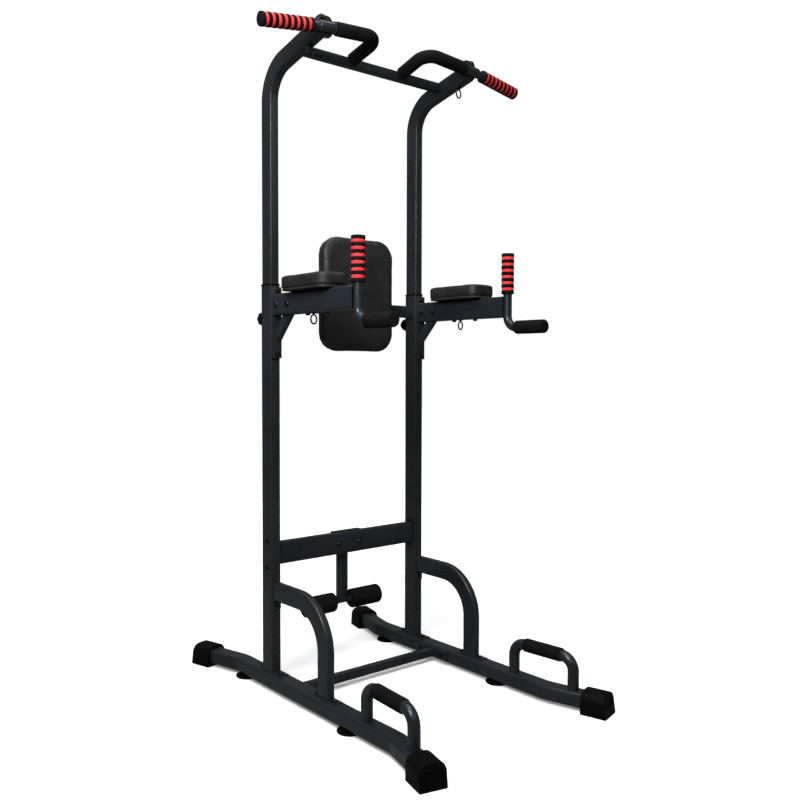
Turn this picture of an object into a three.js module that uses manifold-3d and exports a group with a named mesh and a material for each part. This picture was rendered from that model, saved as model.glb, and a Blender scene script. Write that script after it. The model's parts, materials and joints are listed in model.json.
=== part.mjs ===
// Power tower: a free-standing steel frame with pull-up handles, dip arms, a back
// pad, push-up handles and foot rollers. Millimetres, +Z up, the front faces -Y.
// Everything is laid out from the point on the floor midway between the two posts,
// and the whole tower is moved along Y at the end so that its footprint is centred.
import * as THREE from "three";
import { mergeVertices } from "three/addons/utils/BufferGeometryUtils.js";
import Module from "manifold-3d";

const wasm = await Module();
wasm.setup();

// Driving dimensions
const GAP = 0.3; // clearance between pieces that touch
const WALL = 2; // wall of the steel tubes
const SIDES = [[-1, "l"], [1, "r"]];
const SIDE_X = 330; // posts, rails and arms, left and right of the middle

const RAIL = { w: 62, h: 51, r: 12, bottom: 12, front: -695, rear: 203, splay: 14.7, bend: 150 };
const CAP = { w: 88, h: 76, r: 30, start: 143, length: 89, socket: 62, bevel: 2, lean: 0.0013 };
const FOOT = { r: 44, ys: { front: -468, rear: 163 } };
const POST = { w: 37, d: 63, r: 3.5, top: 1420, foot: 156 };
const BRACE = { w: 29, d: 64, r: 8, z: 355, y: -332.5, bend: 147, foot: 133 };
const BASE_BAR = { d: 32, h: 30, y: -146, z: 36, flange: 180 };
const MID_BAR = { d: 30, h: 80, z: 481, flange: 126 };
const HANGER = { w: 40, d: 25, y: 32, plate: 126, drop: 78 };
const AXLE = { r: 9.5, spacer: 11.5, z: 251, end: 171.5 };
const ROLLER = { r: 36, from: 40.5, to: 170.5 };
const PUSH = { r: 19, z: 168.5, bend: 45, rear: -550, front: -795, frontX: 352 };
const MAST = { w: 33, d: 59, r: 3.5, bottom: 1130, corner: 2148, bend: 121, slope: 12.5, front: -305 };
const HOLES = { first: 1206, pitch: 50, count: 12, r: 5.4 };
const PIN = { r: 5, z: 1306, tip: 30.1, boss: 37 };
const TOP_BAR = { d: 34, h: 30, y: -153, z: 2192 };
const PLATE = { w: 60, h: 68, r: 18, t: 5, x: 320, z: 2219 };
const PULL = { r: 14, outer: [552, -316, 2182], mid: [330, -326, 2212, 60], bend: [106, -322, 2230, 52] };
const PULL_END_Z = 2192;
const PAD_GRIP = { r: 22.4, from: 284, to: -187 };
const BRACKET = { w: 35, d: 12, bottom: 1168, top: 1413 };
const ARM = { w: 44, h: 74, r: 9, z: 1351, rear: -46, front: -500 };
const DIP = { r: 15.4, y: -504, z: 1278, bend: 42, top: 1531, tip: -669 };
const STRIPE = { black: 12.2, red: 9.34, rBlack: 22.3, rRed: 21.2 };
const ARM_BOLTS = { rear: -70, front: -137.5 };
const ARM_PAD = { w: 126, l: 264, h: 48, y: -267, r: 40, edge: 6 };
const BACK = { w: 336, h: 430, t: 40, z: 1400, y: -65, r: 75, edge: 10 };
const BACK_BAR = { d: 30, h: 46, z: 1354 };

const FRAME = { color: "#2a2d30", roughness: 0.42, metalness: 0.35 };
const FOAM = { color: "#1b1b1c", roughness: 0.9, metalness: 0 };
const STRIPED = { color: "#7d2426", roughness: 0.8, metalness: 0 };
const VINYL = { color: "#232324", roughness: 0.55, metalness: 0 };
const PLASTIC = { color: "#161617", roughness: 0.6, metalness: 0 };
const RUBBER = { color: "#121212", roughness: 0.85, metalness: 0 };
const BOARD = { color: "#2b2724", roughness: 0.9, metalness: 0 };

const rad = THREE.MathUtils.degToRad;
const tower = new THREE.Group();

function add(name, geometry, look) {
  const mesh = new THREE.Mesh(geometry, new THREE.MeshStandardMaterial(look));
  mesh.name = name;
  tower.add(mesh);
}

// Solids: join, cut and keep
function solid(geometry) {
  const bare = geometry.clone();
  bare.deleteAttribute("normal");
  bare.deleteAttribute("uv");
  const merged = mergeVertices(bare, 1e-3);
  return new wasm.Manifold(new wasm.Mesh({
    numProp: 3,
    vertProperties: Float32Array.from(merged.attributes.position.array),
    triVerts: Uint32Array.from(merged.index.array),
  }));
}

function toGeometry(manifold) {
  const mesh = manifold.getMesh();
  const geometry = new THREE.BufferGeometry();
  geometry.setAttribute("position", new THREE.BufferAttribute(mesh.vertProperties, 3));
  geometry.setIndex(new THREE.BufferAttribute(mesh.triVerts, 1));
  geometry.computeVertexNormals();
  return geometry;
}

function join(...geometries) {
  return toGeometry(geometries.map(solid).reduce((a, b) => a.add(b)));
}

function cut(geometry, ...tools) {
  return toGeometry(tools.map(solid).reduce((a, b) => a.subtract(b), solid(geometry)));
}

function keep(geometry, tool) {
  return toGeometry(solid(geometry).intersect(solid(tool)));
}

// Sections and sweeps
function outline(w, h, r, arc = 2) {
  const points = [];
  [[1, 1, 0], [-1, 1, 90], [-1, -1, 180], [1, -1, 270]].forEach(([sx, sy, from]) => {
    for (let i = 0; i <= arc; i += 1) {
      const a = rad(from + (90 * i) / arc);
      const x = sx * (w / 2 - r) + r * Math.cos(a);
      const y = sy * (h / 2 - r) + r * Math.sin(a);
      const last = points[points.length - 1];
      if (!last || last.distanceTo(new THREE.Vector2(x, y)) > 1e-3) points.push(new THREE.Vector2(x, y));
    }
  });
  if (points[0].distanceTo(points[points.length - 1]) < 1e-3) points.pop();
  return points;
}

function tubeSection(w, h, r, arc = 2, wall = WALL) {
  const shape = new THREE.Shape(outline(w, h, r, arc));
  shape.holes.push(new THREE.Path(outline(w - 2 * wall, h - 2 * wall, Math.max(r - wall, 0.5), arc)));
  return shape;
}

function roundSection(r, bore = 0, arc = 3) {
  const shape = new THREE.Shape(outline(2 * r, 2 * r, r, arc));
  if (bore) shape.holes.push(new THREE.Path(outline(2 * bore, 2 * bore, bore, arc)));
  return shape;
}

// A path with one ring of the section at each of its points, and none between.
class RingPath extends THREE.Curve {
  constructor(points) {
    super();
    this.points = points;
  }

  getPoint(t, target = new THREE.Vector3()) {
    return target.copy(this.points[Math.round(t * (this.points.length - 1))]);
  }

  getSpacedPoints() {
    return this.points;
  }

  getTangentAt(u, target = new THREE.Vector3()) {
    const i = Math.round(u * (this.points.length - 1));
    const step = (a, b) => this.points[b].clone().sub(this.points[a]).normalize();
    target.set(0, 0, 0);
    if (i > 0) target.add(step(i - 1, i));
    if (i < this.points.length - 1) target.add(step(i, i + 1));
    return target.normalize();
  }
}

// Straight runs between corners [x, y, z, bend radius], with an arc at each corner.
function route(corners, stepDegrees = 13) {
  const at = corners.map(([x, y, z]) => new THREE.Vector3(x, y, z));
  const points = [at[0]];
  for (let i = 1; i < at.length - 1; i += 1) {
    const back = at[i - 1].clone().sub(at[i]).normalize();
    const ahead = at[i + 1].clone().sub(at[i]).normalize();
    const turn = Math.PI - back.angleTo(ahead);
    const r = corners[i][3];
    const centre = back.clone().add(ahead).normalize().multiplyScalar(r / Math.cos(turn / 2)).add(at[i]);
    const reach = r * Math.tan(turn / 2);
    const first = at[i].clone().addScaledVector(back, reach).sub(centre);
    const last = at[i].clone().addScaledVector(ahead, reach).sub(centre);
    const axis = first.clone().cross(last).normalize();
    const steps = Math.max(2, Math.ceil(THREE.MathUtils.radToDeg(turn) / stepDegrees));
    for (let k = 0; k <= steps; k += 1) {
      points.push(first.clone().applyAxisAngle(axis, (turn * k) / steps).add(centre));
    }
  }
  points.push(at[at.length - 1]);
  return points;
}

function sweep(shape, corners) {
  const points = route(corners);
  return new THREE.ExtrudeGeometry(shape, { steps: points.length - 1, extrudePath: new RingPath(points) });
}

function box(x0, x1, y0, y1, z0, z1) {
  const geometry = new THREE.BoxGeometry(Math.abs(x1 - x0), Math.abs(y1 - y0), Math.abs(z1 - z0));
  return geometry.translate((x0 + x1) / 2, (y0 + y1) / 2, (z0 + z1) / 2);
}

// Turned about an axis: pairs [distance along the axis, radius], then laid along it.
function turned(profile, direction, origin, segments = 12) {
  const points = profile.map(([along, r]) => new THREE.Vector2(r, along));
  const geometry = new THREE.LatheGeometry(points, segments);
  const spin = new THREE.Quaternion().setFromUnitVectors(new THREE.Vector3(0, 1, 0),
    new THREE.Vector3(...direction).normalize());
  return geometry.applyQuaternion(spin).translate(...origin);
}

function rod(r, from, to, segments = 12) {
  const a = new THREE.Vector3(...from);
  const length = new THREE.Vector3(...to).sub(a).length();
  const way = new THREE.Vector3(...to).sub(a).toArray();
  return turned([[0, 0], [0, r], [length, r], [length, 0]], way, from, segments);
}

// ---- Base rails: flat-oval tube, straight in the middle, both ends turned outwards
const RAIL_Z = RAIL.bottom + RAIL.h / 2;

function railEnd(s, end, along) {
  const way = end === "front" ? -1 : 1;
  const x = s * (SIDE_X + along * Math.sin(rad(RAIL.splay)));
  return [x, RAIL[end] + way * along * Math.cos(rad(RAIL.splay)), RAIL_Z];
}

function railPath(s, along) {
  return [railEnd(s, "rear", along), [s * SIDE_X, RAIL.rear, RAIL_Z, RAIL.bend],
    [s * SIDE_X, RAIL.front, RAIL_Z, RAIL.bend], railEnd(s, "front", along)];
}

function railEnvelope(s, grow, along) {
  const shape = new THREE.Shape(outline(RAIL.h + 2 * grow, RAIL.w + 2 * grow, RAIL.r + grow, 4));
  return sweep(shape, railPath(s, along));
}

const RAIL_END = CAP.start + CAP.socket - 1;
SIDES.forEach(([s, side]) => {
  add(`base_rail_${side}`, sweep(tubeSection(RAIL.h, RAIL.w, RAIL.r, 4, 2.5), railPath(s, RAIL_END)), FRAME);
});

// A plate bent to lie against the rail, between two stations along it
function saddle(s, yFrom, yTo, region) {
  const shape = new THREE.Shape(outline(RAIL.h + 9, RAIL.w + 9, RAIL.r + 4.5, 4));
  const block = sweep(shape, [[s * SIDE_X, yFrom, RAIL_Z], [s * SIDE_X, yTo, RAIL_Z]]);
  return cut(keep(block, region), railEnvelope(s, GAP, RAIL_END));
}

// ---- End caps: arched blocks that stand on the floor, with a socket for the rail and an
// end face that leans back
function endCap(s, end) {
  const shape = new THREE.Shape();
  const half = CAP.w / 2;
  shape.moveTo(-half, 0);
  shape.lineTo(half, 0);
  shape.lineTo(half, CAP.h - CAP.r);
  shape.absarc(half - CAP.r, CAP.h - CAP.r, CAP.r, 0, Math.PI / 2, false);
  shape.absarc(-half + CAP.r, CAP.h - CAP.r, CAP.r, Math.PI / 2, Math.PI, false);
  shape.closePath();
  const block = new THREE.ExtrudeGeometry(shape, {
    depth: CAP.length - 2 * CAP.bevel, curveSegments: 2, bevelEnabled: true, bevelSegments: 1,
    bevelThickness: CAP.bevel, bevelSize: CAP.bevel, bevelOffset: -CAP.bevel,
  });
  block.translate(0, 0, CAP.bevel);
  const label = box(-27, 27, 34, 55, CAP.length - 2.5, CAP.length + 5);
  const shaped = cut(block, label);
  const points = shaped.attributes.position;
  for (let i = 0; i < points.count; i += 1) {
    points.setZ(i, points.getZ(i) * (1 - CAP.lean * points.getY(i)));
  }
  const [x, y] = railEnd(s, end, CAP.start);
  const ahead = new THREE.Vector3(...railEnd(s, end, 1)).sub(new THREE.Vector3(...railEnd(s, end, 0)));
  const up = new THREE.Vector3(0, 0, 1);
  const basis = new THREE.Matrix4().makeBasis(up.clone().cross(ahead), up, ahead);
  shaped.applyMatrix4(basis).translate(x, y, 0);
  return cut(shaped, railEnvelope(s, GAP, RAIL_END + 1));
}

// ---- Rubber feet: round discs on a short stem under the rails
function foot(s, y) {
  const top = RAIL.bottom - GAP;
  return turned([[0, 0], [0, 41], [2, FOOT.r], [6, FOOT.r], [9.5, 30], [10, 12], [top, 12], [top, 0]],
    [0, 0, 1], [s * (SIDE_X + 1), y, 0], 16);
}

SIDES.forEach(([s, side]) => {
  ["front", "rear"].forEach((end) => {
    add(`cap_${end}_${side}`, endCap(s, end), PLASTIC);
    add(`foot_${end}_${side}`, foot(s, FOOT.ys[end]), RUBBER);
  });
});

// ---- Posts: rectangular tube on a bent foot plate, open at the top for the mast
const RAIL_TOP = RAIL.bottom + RAIL.h;

function footPlate(s, y, length, w) {
  const region = box(s * SIDE_X - w / 2, s * SIDE_X + w / 2, y - length / 2, y + length / 2, RAIL_TOP - 10,
    RAIL_TOP + 4);
  return saddle(s, y - length / 2 - 5, y + length / 2 + 5, region);
}

function post(s) {
  const tube = sweep(tubeSection(POST.d, POST.w, POST.r, 2, 1.6), [[s * SIDE_X, 0, RAIL_TOP - 3],
    [s * SIDE_X, 0, POST.top]]);
  const shaped = cut(tube, railEnvelope(s, GAP, RAIL_END));
  const boss = rod(12, [s * SIDE_X, POST.d / 2 - 1, PIN.z], [s * SIDE_X, PIN.boss, PIN.z]);
  const pinHole = rod(HOLES.r, [s * SIDE_X, 20, PIN.z], [s * SIDE_X, PIN.boss + 5, PIN.z]);
  return cut(join(shaped, footPlate(s, 0, POST.foot, 46), boss), pinHole);
}

// ---- Collar: plastic ring where the mast leaves the post
function collar(s) {
  const shape = new THREE.Shape(outline(POST.d + 4, POST.w + 4, POST.r + 2));
  shape.holes.push(new THREE.Path(outline(MAST.d + 0.8, MAST.w + 0.8, MAST.r + 0.4)));
  return sweep(shape, [[s * SIDE_X, 0, POST.top + GAP], [s * SIDE_X, 0, POST.top + 4]]);
}

// ---- Curved braces from the posts down to the rails
function brace(s) {
  const section = tubeSection(BRACE.d, BRACE.w, BRACE.r);
  const wallY = -POST.d / 2 - GAP;
  const tube = sweep(section, [[s * SIDE_X, wallY - 3, BRACE.z], [s * SIDE_X, BRACE.y, BRACE.z, BRACE.bend],
    [s * SIDE_X, BRACE.y, RAIL_TOP - 3]]);
  const flange = box(s * SIDE_X - 17, s * SIDE_X + 17, wallY - 4, wallY, 291, BRACE.z + BRACE.d / 2 - 4);
  const shaped = cut(tube, railEnvelope(s, GAP, RAIL_END));
  const drain = rod(6, [s * SIDE_X, BRACE.y, RAIL_TOP - 5], [s * SIDE_X, BRACE.y, RAIL_TOP + 10]);
  return cut(join(shaped, footPlate(s, BRACE.y, BRACE.foot, 38), flange), drain);
}

SIDES.forEach(([s, side]) => {
  add(`post_${side}`, post(s), FRAME);
  add(`collar_${side}`, collar(s), PLASTIC);
  add(`brace_${side}`, brace(s), FRAME);
});

// The hole in each end plate of a crossbar, which drains the tube
function drainHole(y, z) {
  return rod(6, [-SIDE_X, y, z], [SIDE_X, y, z]);
}

// ---- Base crossbar: tube with a plate at each end, bent against the rail's inner side
function baseBar() {
  const { d, h, y, z, flange } = BASE_BAR;
  const inner = SIDE_X - RAIL.w / 2;
  const tube = sweep(tubeSection(h, d, 4), [[-inner + 2, y, z], [inner - 2, y, z]]);
  const plates = SIDES.map(([s]) => {
    const region = box(s * (inner - 6), s * (inner + 8), y - flange / 2, y + flange / 2, 19, 57);
    return saddle(s, y - flange / 2 - 5, y + flange / 2 + 5, region);
  });
  const bar = join(tube, ...plates);
  return cut(bar, railEnvelope(-1, GAP, RAIL_END), railEnvelope(1, GAP, RAIL_END), drainHole(y, z));
}
add("base_bar", baseBar(), FRAME);

// ---- Middle crossbar: deep tube between the posts, with a bolting plate at each end
function midBar() {
  const { d, h, z, flange } = MID_BAR;
  const end = SIDE_X - POST.w / 2 - GAP;
  const tube = sweep(tubeSection(h, d, 5), [[-end + 1, 0, z], [end - 1, 0, z]]);
  const plates = SIDES.map(([s]) => box(s * (end - 3), s * end, -16, 16, z - flange / 2, z + flange / 2));
  return cut(join(tube, ...plates), drainHole(0, z));
}
add("mid_bar", midBar(), FRAME);

// ---- Roller hanger: a plate hooked over the back of the middle crossbar, and a tube
function hanger() {
  const back = MID_BAR.d / 2 + GAP;
  const top = MID_BAR.z + MID_BAR.h / 2 + GAP;
  const half = HANGER.plate / 2;
  const plate = box(-half, half, back, back + 4, top - HANGER.drop, top + 3);
  const lip = box(-half, half, -2, back + 1, top, top + 3);
  const yFront = HANGER.y - HANGER.d / 2;
  const tube = sweep(tubeSection(HANGER.d, HANGER.w, 3), [[0, HANGER.y, AXLE.z], [0, HANGER.y, top - 15]]);
  const joined = join(plate, lip, tube, box(-20, 20, yFront - 1, yFront + 2, top - 60, top - 15));
  return cut(joined, rod(AXLE.r + GAP, [-80, HANGER.y, AXLE.z], [80, HANGER.y, AXLE.z]));
}
add("roller_hanger", hanger(), FRAME);

// ---- Roller axle with its spacers and end washers, and the two foam rollers on it
function axle() {
  const { r, spacer, end } = AXLE;
  const half = [[21, r], [21, spacer], [38, spacer], [38, r], [end, r], [end, 16], [end + 4, 16], [end + 4, 0]];
  const mirrored = half.map(([x, radius]) => [-x, radius]).reverse();
  return turned([...mirrored, ...half], [1, 0, 0], [0, HANGER.y, AXLE.z], 12);
}

function sleeve(r, bore, from, to, direction, origin, segments = 12, round = 4) {
  return turned([[from, bore], [from, r - round], [from + round, r], [to - round, r], [to, r - round],
    [to, bore], [from, bore]], direction, origin, segments);
}
add("roller_axle", axle(), FRAME);
SIDES.forEach(([s, side]) => {
  const roller = sleeve(ROLLER.r, AXLE.r + 0.5, ROLLER.from, ROLLER.to, [s, 0, 0], [0, HANGER.y, AXLE.z], 18);
  add(`roller_${side}`, roller, FOAM);
});

// ---- Push-up handles: bent round tube welded on the rails, with a foam grip
function pushHandle(s) {
  const tube = sweep(roundSection(PUSH.r, PUSH.r - WALL), [[s * SIDE_X, PUSH.rear, RAIL_TOP - 6],
    [s * SIDE_X, PUSH.rear, PUSH.z, PUSH.bend], [s * PUSH.frontX, PUSH.front, PUSH.z, PUSH.bend],
    [s * PUSH.frontX, PUSH.front, RAIL_TOP - 6]]);
  return cut(tube, railEnvelope(s, GAP, RAIL_END));
}

function pushGrip(s) {
  const way = [s * (PUSH.frontX - SIDE_X), PUSH.front - PUSH.rear, 0];
  return sleeve(23.5, PUSH.r + 0.4, 48, 200, way, [s * SIDE_X, PUSH.rear, PUSH.z]);
}
SIDES.forEach(([s, side]) => {
  add(`push_handle_${side}`, pushHandle(s), FRAME);
  add(`push_grip_${side}`, pushGrip(s), FOAM);
});

// ---- Masts: the upper tubes, which slide in the posts and bend forwards at the top
const slope = Math.tan(rad(MAST.slope));
const mastZ = (y) => MAST.corner - y * slope;

// The plate with rounded corners that joins a mast and its handle, front face at -Y
function lug(s, back) {
  const shape = new THREE.Shape(outline(PLATE.w, PLATE.h, PLATE.r));
  const plate = new THREE.ExtrudeGeometry(shape, { depth: PLATE.t, bevelEnabled: false });
  return plate.rotateX(Math.PI / 2).translate(s * PLATE.x, back, PLATE.z);
}

function mast(s) {
  const beyond = MAST.front - 30;
  const tube = sweep(tubeSection(MAST.d, MAST.w, MAST.r), [[s * SIDE_X, 0, MAST.bottom],
    [s * SIDE_X, 0, MAST.corner, MAST.bend], [s * SIDE_X, beyond, mastZ(beyond)]]);
  const trimmed = cut(tube, box(s * SIDE_X - 50, s * SIDE_X + 50, MAST.front - 90, MAST.front, 2050, 2350));
  const holes = Array.from({ length: HOLES.count }, (_, i) => {
    const z = HOLES.first + i * HOLES.pitch;
    return rod(HOLES.r, [s * SIDE_X, 15, z], [s * SIDE_X, 40, z], 8);
  });
  return cut(join(trimmed, lug(s, MAST.front)), ...holes);
}

// ---- Top crossbar between the masts
function topBar() {
  const end = SIDE_X - MAST.w / 2 - GAP;
  return sweep(tubeSection(TOP_BAR.h, TOP_BAR.d, 5), [[-end, TOP_BAR.y, TOP_BAR.z], [end, TOP_BAR.y, TOP_BAR.z]]);
}
add("top_bar", topBar(), FRAME);

// ---- Pull-up handles: bent round tube clamped across the front of each mast
const topBarFront = TOP_BAR.y - TOP_BAR.d / 2 - GAP;
const side3 = (s, [x, y, z, r]) => [s * x, y, z, r];

function pullHandle(s) {
  const inner = [s * 111, topBarFront, PULL_END_Z];
  const past = [s * 111.3, topBarFront + 8, PULL_END_Z - 2];
  const tube = sweep(roundSection(PULL.r), [side3(s, PULL.outer), side3(s, PULL.mid), side3(s, PULL.bend), past]);
  const trimmed = cut(tube, box(inner[0] - 40, inner[0] + 40, topBarFront, topBarFront + 40, 2100, 2300));
  const back = MAST.front - PLATE.t - GAP;
  const clamp = rod(18.5, [s * 350, PULL.mid[1], PULL.mid[2] - 2], [s * 291, PULL.mid[1], PULL.mid[2] + 4]);
  return join(trimmed, lug(s, back), cut(clamp, box(s * 250, s * 400, back - PLATE.t + 1, back + 30, 2150, 2300)));
}

function pullGrip(s) {
  const along = (a, b, t) => a.map((v, i) => v + (b[i] - v) * t);
  const [a, b] = [PULL.mid, PULL.bend];
  const start = along(a, b, (PAD_GRIP.from - a[0]) / (b[0] - a[0]));
  const last = [111, topBarFront, PULL_END_Z];
  const end = along(b.slice(0, 3), last, (PAD_GRIP.to - b[1]) / (last[1] - b[1]));
  return sweep(roundSection(PAD_GRIP.r, PULL.r + 0.5), [side3(s, start), side3(s, b), side3(s, end)]);
}

// ---- Striped grips: ribbed foam cups, black ribs standing just proud of the red bands
function stripedGrip(reds, bore, depth, direction, origin) {
  const length = (reds + 1) * STRIPE.black + reds * STRIPE.red;
  const profile = [[0, bore]];
  for (let i = 0; i <= reds; i += 1) {
    const from = i * (STRIPE.black + STRIPE.red);
    const to = from + STRIPE.black;
    profile.push([from, STRIPE.rRed], [from + 1.2, STRIPE.rBlack], [to - 1.2, STRIPE.rBlack], [to, STRIPE.rRed]);
  }
  profile.push([length, 0], [depth, 0], [depth, bore], [0, bore]);
  return turned(profile, direction, origin, 12);
}

function pullStriped(s) {
  const [a, b] = [PULL.mid, PULL.outer].map((p) => new THREE.Vector3(s * p[0], p[1], p[2]));
  const way = b.clone().sub(a).normalize();
  const reds = 8;
  const length = (reds + 1) * STRIPE.black + reds * STRIPE.red;
  const origin = b.clone().addScaledVector(way, 5 - length);
  return stripedGrip(reds, PULL.r + 0.4, length - 4.5, way.toArray(), origin.toArray());
}

// ---- Eye bolts: a ring on a short stem, hung from the masts and from the dip arms
function eye(x, y, z, tilt) {
  const ring = new THREE.TorusGeometry(15, 2.6, 6, 12);
  const stem = rod(4, [0, 0, 14], [0, 0, 20.5], 8);
  const washer = rod(8, [0, 0, 19], [0, 0, 20.5], 12);
  ring.rotateX(Math.PI / 2);
  return join(ring, stem, washer).translate(0, 0, -20.5 - GAP).rotateX(-rad(tilt)).translate(x, y, z);
}

SIDES.forEach(([s, side]) => {
  add(`mast_${side}`, mast(s), FRAME);
  add(`pull_handle_${side}`, pullHandle(s), FRAME);
  add(`pull_grip_${side}`, pullGrip(s), FOAM);
  add(`pull_striped_${side}`, pullStriped(s), STRIPED);
  const under = mastZ(-249) - MAST.d / 2 / Math.cos(rad(MAST.slope));
  add(`mast_eye_${side}`, eye(s * SIDE_X, -249, under, MAST.slope), FRAME);
});

// ---- Pull pins: spring pins with a tapered knob, through the boss into the mast
function pin(s) {
  const y0 = PIN.boss + 0.4;
  const profile = [[PIN.tip, 0], [PIN.tip, PIN.r - 1], [PIN.tip + 1.5, PIN.r], [y0, PIN.r], [y0, 22], [y0 + 3, 26],
    [y0 + 12, 26], [y0 + 26, 17], [y0 + 29, 14], [y0 + 29, 0]];
  return turned(profile, [0, 1, 0], [s * SIDE_X, 0, PIN.z], 12);
}

// ---- Dip arms: a bolted bracket on each post, the arm over its stub, and the handle
const armInner = { w: ARM.w - 2 * WALL, h: ARM.h - 2 * WALL };
const armBottom = ARM.z - ARM.h / 2;

function armBoltHoles(s, r) {
  return Object.values(ARM_BOLTS).map((y) => rod(r, [s * SIDE_X - 40, y, ARM.z - 2], [s * SIDE_X + 40, y, ARM.z - 2]));
}

function bracket(s) {
  const { w, d, bottom, top } = BRACKET;
  const x = s * SIDE_X;
  const back = -POST.d / 2 - GAP;
  const face = back - d;
  const channel = cut(box(x - w / 2, x + w / 2, face, back, bottom, top),
    box(x - w / 2 + 3, x + w / 2 - 3, face + 3, back + 1, bottom - 1, top + 1));
  const stub = sweep(tubeSection(armInner.h - 1, armInner.w - 1, 6), [[x, face + 2, ARM.z], [x, -170, ARM.z]]);
  const side = new THREE.Shape([[face + 1, 1222], [-131, armBottom - GAP], [-88, armBottom - GAP],
    [face + 1, 1264]].map(([y, z]) => new THREE.Vector2(y, z)));
  const strut = new THREE.ExtrudeGeometry(side, { depth: 20, bevelEnabled: false });
  const basis = new THREE.Matrix4().makeBasis(new THREE.Vector3(0, 1, 0), new THREE.Vector3(0, 0, 1),
    new THREE.Vector3(1, 0, 0));
  strut.applyMatrix4(basis).translate(x - s * 4 - 10, 0, 0);
  return cut(join(channel, stub, strut), ...armBoltHoles(s, 4.4));
}

function arm(s) {
  const x = s * SIDE_X;
  const section = new THREE.Shape(outline(ARM.h, ARM.w, ARM.r));
  const bar = sweep(section, [[x, ARM.rear, ARM.z], [x, ARM.front, ARM.z]]);
  const hollow = sweep(new THREE.Shape(outline(armInner.h, armInner.w, ARM.r - WALL)), [[x, ARM.rear + 5, ARM.z],
    [x, DIP.y + DIP.r + 4, ARM.z]]);
  const cope = rod(DIP.r + GAP, [x, DIP.y, 1200], [x, DIP.y, 1450], 16);
  return cut(bar, hollow, cope, ...armBoltHoles(s, 4.4));
}

function dipHandle(s) {
  const x = s * SIDE_X;
  return sweep(roundSection(DIP.r, DIP.r - WALL), [[x, DIP.y, DIP.top], [x, DIP.y, DIP.z, DIP.bend],
    [x, DIP.tip, DIP.z]]);
}

function lowGrip(s) {
  const bore = DIP.r + 0.4;
  const profile = [[0, bore], [0, 19.5], [4, 23.5], [125, 23.5], [129, 19.5], [129, 0], [122.5, 0], [122.5, bore],
    [0, bore]];
  return turned(profile, [0, -1, 0], [s * SIDE_X, -547, DIP.z]);
}

function armBolt(s, y) {
  const x = SIDE_X - ARM.w / 2 - GAP;
  const profile = [[x - 6, 0], [x - 6, 7], [x, 7], [x, 4], [x + ARM.w + 2 * GAP, 4], [x + ARM.w + 2 * GAP, 11],
    [x + ARM.w + 3, 11], [x + ARM.w + 7, 6], [x + ARM.w + 7, 0]];
  return turned(profile, [s, 0, 0], [0, y, ARM.z - 2], 10);
}

SIDES.forEach(([s, side]) => {
  add(`pin_${side}`, pin(s), PLASTIC);
  add(`arm_bracket_${side}`, bracket(s), FRAME);
  add(`arm_${side}`, arm(s), FRAME);
  add(`dip_handle_${side}`, dipHandle(s), FRAME);
  const grip = stripedGrip(6, DIP.r + 0.4, 135.5, [0, 0, 1], [s * SIDE_X, DIP.y, 1396]);
  add(`dip_striped_${side}`, grip, STRIPED);
  add(`dip_grip_${side}`, lowGrip(s), FOAM);
  add(`arm_eye_${side}`, eye(s * SIDE_X, -266, armBottom, 0), FRAME);
  Object.entries(ARM_BOLTS).forEach(([end, y]) => add(`arm_bolt_${end}_${side}`, armBolt(s, y), FRAME));
});

// ---- Pads: thick cushions with rounded edges
function cushion(w, l, h, r, edge) {
  const shape = new THREE.Shape(outline(w - 2 * edge, l - 2 * edge, r - edge, 4));
  const geometry = new THREE.ExtrudeGeometry(shape, {
    depth: h - 2 * edge, bevelEnabled: true, bevelSegments: 2, bevelThickness: edge, bevelSize: edge,
  });
  return geometry.translate(0, 0, -h / 2 + edge);
}

SIDES.forEach(([s, side]) => {
  const { w, l, h, y, r, edge } = ARM_PAD;
  const z = ARM.z + ARM.h / 2 + 1 + h / 2;
  add(`arm_pad_${side}`, cushion(w, l, h, r, edge).translate(s * SIDE_X, y, z), VINYL);
});
add("back_pad", cushion(BACK.w, BACK.h, BACK.t, BACK.r, BACK.edge).rotateX(Math.PI / 2)
  .translate(0, BACK.y, BACK.z), VINYL);

// ---- Back board behind the pad, and the bar between the posts that carries it
const boardFront = BACK.y + BACK.t / 2 + GAP;
const boardShape = new THREE.Shape(outline(BACK.w - 30, BACK.h - 30, BACK.r - 15, 4));
add("back_board", new THREE.ExtrudeGeometry(boardShape, { depth: 8, bevelEnabled: false }).rotateX(Math.PI / 2)
  .translate(0, boardFront + 8, BACK.z), BOARD);

function backBar() {
  const { d, h, z } = BACK_BAR;
  const end = SIDE_X - POST.w / 2 - GAP;
  const tube = sweep(tubeSection(h, d, 4), [[-end + 1, 0, z], [end - 1, 0, z]]);
  const flanges = SIDES.map(([s]) => box(s * (end - 3), s * end, -28, 28, z - h / 2, z + h / 2));
  const front = boardFront + 8 + GAP;
  const straps = SIDES.flatMap(([s]) => [
    box(s * 60, s * 100, front, front + 4, z - 60, z + 60),
    box(s * 78, s * 82, front + 3, -d / 2 + 1, z - 50, z + 50),
  ]);
  return cut(join(tube, ...flanges, ...straps), drainHole(0, z));
}
add("back_bar", backBar(), FRAME);

// The footprint's centre becomes the origin
const extent = new THREE.Box3().setFromObject(tower);
tower.position.y = -(extent.min.y + extent.max.y) / 2;

export default tower;
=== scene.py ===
"""Power tower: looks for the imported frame. Metres, +Z up, the front faces -Y."""

import json
import math

import bmesh
import bpy
import numpy as np
from mathutils import Matrix, Vector

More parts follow.
